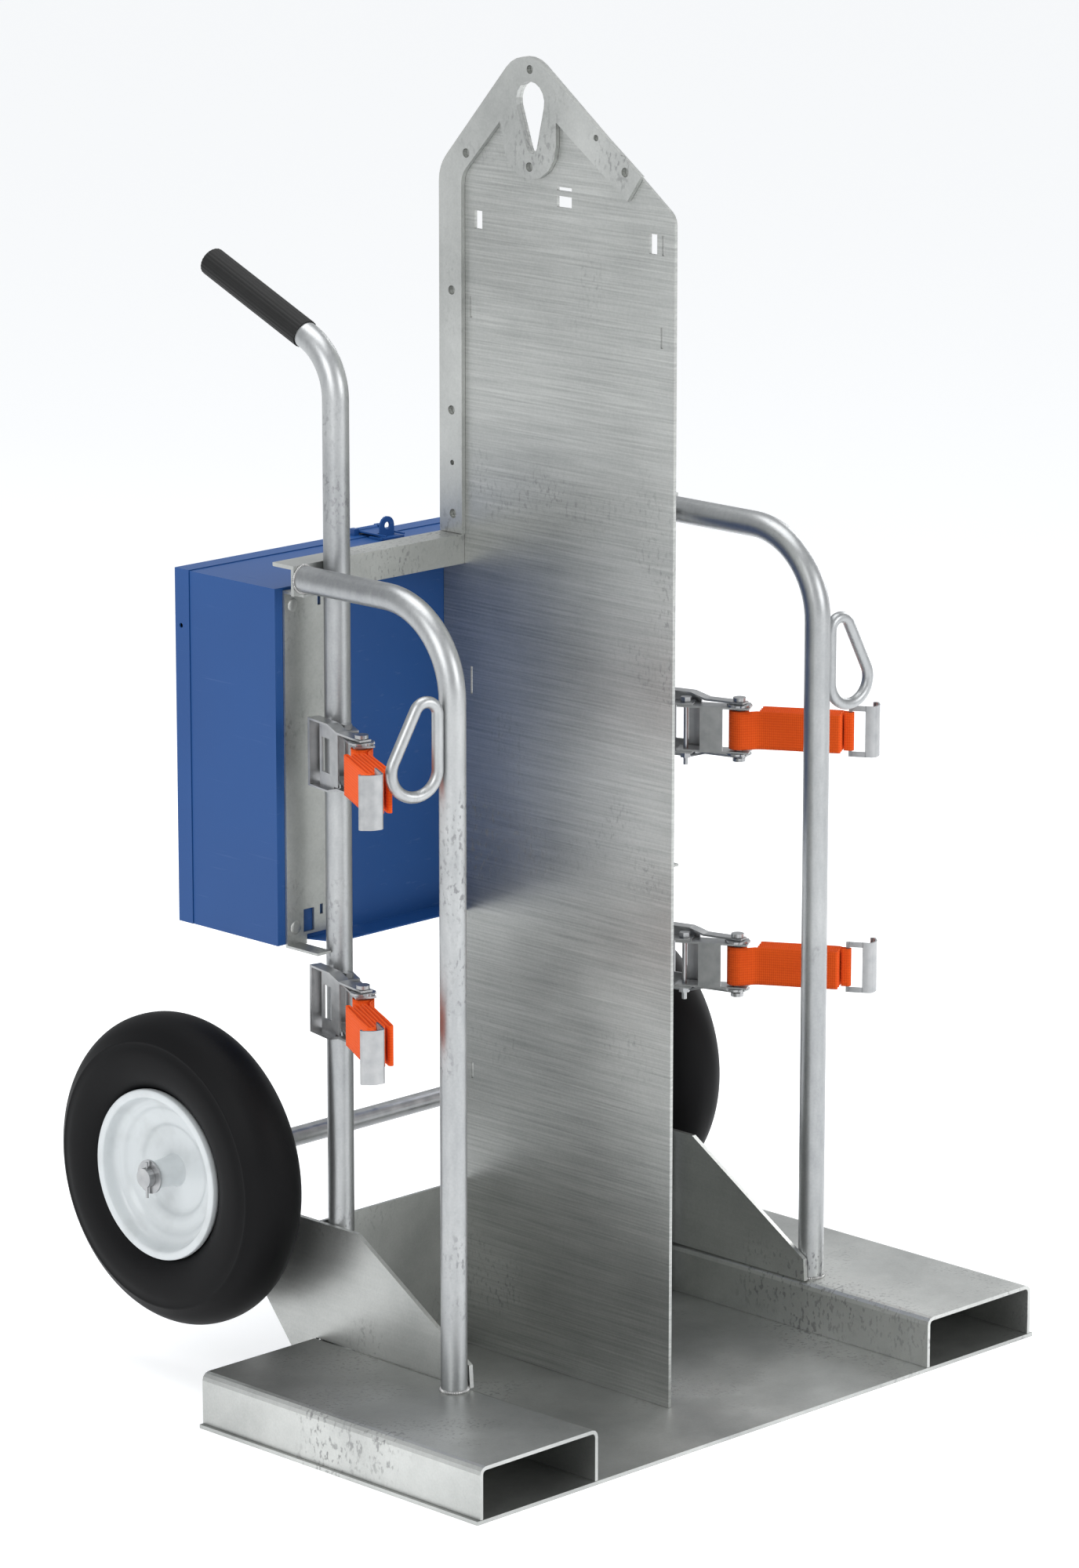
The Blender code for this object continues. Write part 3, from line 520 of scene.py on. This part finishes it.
# Ratchet straps: on each pole a bracket and bolt carry a frame that swivels, with a toothed spool, a
# folding handle, orange webbing wound and folded into a bundle, and a flat hook on its end.
cloth = Finish("orange_webbing", Metallic=0.0, Sheen_Weight=0.04, Specular_IOR_Level=0.15)
RIB, PICK = 0.0034, 0.0027
weave_place = cloth.node("ShaderNodeTexCoord", output="UV")
threads = cloth.node("ShaderNodeSeparateXYZ", None, {0: weave_place})
across_threads = cloth.node("ShaderNodeSeparateXYZ", None, {0: weave_place}, 1)
picks = threads.maths("SINE", threads * (2 * math.pi / PICK))
ribs = across_threads.maths("SINE", across_threads * (2 * math.pi / RIB))
weave = 0.5 + 0.25 * picks + 0.25 * ribs
fuzz = cloth.cloud(260.0, 4.0)
tone = cloth.cloud(18.0, 2.0)
orange = cloth.wear(
    cloth.blend(weave * 0.6 + tone * 0.4, (0.62, 0.058, 0.006, 1), (0.88, 0.118, 0.012, 1)),
    0.72 + 0.18 * fuzz,
    weave + 0.3 * fuzz,
    0.0005,
    0.7,
)
STRAP_WIDTH, STRAP_THICK = 0.0508, 0.0013
LAYERS, LAYER_PITCH, FIRST_LAYER = 7, 0.0052, -0.0016
SPOOL_U, HOOK_BAR = 0.071, (0.2145, 0.02125)
SPOOL_TURNS, LEAVES_SPOOL, WOUND = 3.2, -59, (0.0080, 0.0136)
FOLD_NEAR, FOLD_FAR = 0.1002, 0.2020


def strap_line():
    """The strap's centre line seen from above: wound on the spool, folded in layers, round the hook bar."""
    wind = np.linspace(LEAVES_SPOOL - SPOOL_TURNS * 360, LEAVES_SPOOL, 150)
    grow = np.linspace(*WOUND, 150)
    wound = np.stack([SPOOL_U + grow * np.cos(np.radians(wind)), grow * np.sin(np.radians(wind))], axis=1)
    parts = [wound, straight((0.0860, -0.0072), (0.0945, -0.0026), 6)]
    near, far, turn = FOLD_NEAR, FOLD_FAR, LAYER_PITCH / 2
    for layer in range(LAYERS):
        level = FIRST_LAYER + layer * LAYER_PITCH
        ends = (near, far) if layer % 2 == 0 else (far, near)
        run = straight((ends[0], level), (ends[1], level), 16)
        run[:, 1] += 0.00035 * np.sin((run[:, 0] - near) * 62 + layer * 1.7)
        parts.append(run)
        if layer < LAYERS - 1:
            centre = (ends[1], level + turn)
            sweep = (-70, 70) if layer % 2 == 0 else (250, 110)
            parts.append(bend(centre, turn, *sweep, 7))
    parts.append(straight((0.2060, 0.0262), (0.2110, 0.0258), 4))
    parts.append(bend(HOOK_BAR, 0.0041, 80, -80, 12))
    parts.append(straight((0.2110, 0.0171), (0.2065, 0.0170), 4))
    return np.concatenate(parts)


def toothed_disc(low, high, radius, teeth, depth):
    """Rings from the centre out and back, radius + depth * saw(teeth * a) at the rim."""
    turn = np.linspace(0, 2 * np.pi, teeth * 6, endpoint=False)
    saw = 1 - (turn * teeth / (2 * np.pi)) % 1.0
    rim = radius + depth * saw
    loops = []
    for share, level in [(0.0, low), (1.0, low), (1.0, high), (0.0, high)]:
        out = share * rim
        loops.append(np.stack([out * np.cos(turn), out * np.sin(turn), level + 0 * turn], axis=1))
    return loops


HOOK_HALF, HOOK_THICK, RAIL = 0.0340, 0.0024, 0.0068
SPOOL_PIN, SPOOL_TEETH = 0.0062, 14
SPOOL_NUT, SPOOL_RATCHET, TOOTH = 0.0085, 0.0150, 0.0016


def plate_along(line, low, high):
    """A strip of sheet: each line point is a four-cornered loop, thick across the line and low to high."""
    line = np.asarray(line, float)
    along = np.gradient(line, axis=0)
    across = np.stack([-along[:, 1], along[:, 0]], axis=1) / np.linalg.norm(along, axis=1)[:, None]
    over, under = line + across * HOOK_THICK / 2, line - across * HOOK_THICK / 2
    round_section = ((over, low), (over, high), (under, high), (under, low))
    corners = [np.insert(edge, 2, level, axis=1) for edge, level in round_section]
    loops = np.stack(corners, axis=1)
    first_cap = loops[:1].mean(axis=1, keepdims=True) + 0 * loops[:1]
    last_cap = loops[-1:].mean(axis=1, keepdims=True) + 0 * loops[-1:]
    return np.concatenate([first_cap, loops, last_cap])


def hook_parts():
    """The bar that the strap turns round, a rail above and below its window, and the bowed lip."""
    flat_bar = straight((0.2122, 0.02125), (0.2168, 0.02125), 3)
    rail = straight((0.2160, 0.02125), (0.2350, 0.02125), 6)
    heel = bend((0.2415, 0.0275), 0.00625, -90, -8, 10)
    bow = np.linspace(0, 1, 12)[1:, None]
    lip = heel[-1] + bow * np.array([-0.0012, 0.0190]) + np.sin(np.pi * bow) * np.array([0.0024, 0.0])
    curl = bend((0.2430, 0.0463), 0.0036, 0, 150, 8)[1:]
    outer = np.concatenate([straight((0.2340, 0.02125), (0.2410, 0.02125), 4), heel[1:], lip, curl])
    return [
        (flat_bar, -HOOK_HALF, HOOK_HALF),
        (rail, HOOK_HALF - RAIL, HOOK_HALF),
        (rail, -HOOK_HALF, RAIL - HOOK_HALF),
        (outer, -HOOK_HALF, HOOK_HALF),
    ]


joints = {joint["name"]: joint for joint in frame["joints"]}
centre_line = strap_line()
steps = np.linalg.norm(np.diff(centre_line, axis=0), axis=1)
run_along = np.concatenate([[0.0], np.cumsum(steps)])
for side, sign in SIDES.items():
    for level in ("upper", "lower"):
        tag = side + "_" + level
        pivot = np.array(joints["strap_%s_swivel" % tag]["pos_m"])
        spool = np.array(joints["spool_%s_turn" % tag]["pos_m"])
        ahead = (spool - pivot) / np.linalg.norm(spool - pivot)
        beside = sign * np.array([-ahead[1], ahead[0], 0.0])
        line = pivot + centre_line[:, :1] * ahead + centre_line[:, 1:] * beside
        edges = np.linspace(-STRAP_WIDTH / 2, STRAP_WIDTH / 2, 9)
        grid = line[:, None, :] + edges[None, :, None] * np.array([0.0, 0.0, 1.0])
        uv = np.stack(np.broadcast_arrays(run_along[:, None], edges[None, :]), axis=-1)
        node, body = "strap_webbing_" + tag, "strap_" + tag
        strap = surface("webbing_" + tag, grid, orange, body, (False, False), 60, uv, (node,))
        wall = strap.modifiers.new("thickness", "SOLIDIFY")
        wall.thickness, wall.offset = STRAP_THICK, 0.0

        turn = np.linspace(0, 2 * np.pi, SPOOL_TEETH * 6, endpoint=False)
        stack = []
        for low, high, radius, teeth, depth in (
            (-0.0425, -0.0380, SPOOL_NUT, SPOOL_TEETH, 0.0),
            (-0.0336, -0.0310, SPOOL_RATCHET, SPOOL_TEETH, TOOTH),
            (0.0310, 0.0336, SPOOL_RATCHET, SPOOL_TEETH, TOOTH),
            (0.0380, 0.0425, SPOOL_NUT, SPOOL_TEETH, 0.0),
        ):
            disc = toothed_disc(low, high, radius, teeth, depth)
            pin = [SPOOL_PIN * np.cos(turn), SPOOL_PIN * np.sin(turn)]
            disc[0] = np.stack([*pin, low + 0 * turn], axis=1)
            disc[3] = np.stack([*pin, high + 0 * turn], axis=1)
            stack += disc
        tip_low, tip_high = stack[0] * (0, 0, 1), stack[-1] * (0, 0, 1)
        grid = np.stack([tip_low] + stack + [tip_high]) + spool
        surface("spool_" + tag, grid, zinc, "spool_" + tag, sharp=28, nodes=("ratchet_spool_" + tag,))
        grids = [plate_along(line, low, high) for line, low, high in hook_parts()]
        grids = [pivot + g[..., :1] * ahead + g[..., 1:2] * beside + g[..., 2:] * (0, 0, 1) for g in grids]
        hook = "hook_" + tag
        surface(hook, grids, zinc, hook, (False, True), 40, nodes=("strap_hook_" + tag,))
        for part in ("strap_bracket_", "swivel_bolt_", "ratchet_frame_", "ratchet_handle_"):
            carry(zinc, part + tag)


# Floor finish: a pale matt floor that glows a little, so that it stays near white.
floor_finish = Finish("pale_floor", Metallic=0.0)
floor_finish.feed(floor_finish.shader, {"Emission Color": (1, 1, 1, 1), "Emission Strength": 0.42})
floor_mesh.materials.append(floor_finish.wear((0.86, 0.87, 0.88, 1), 0.85))
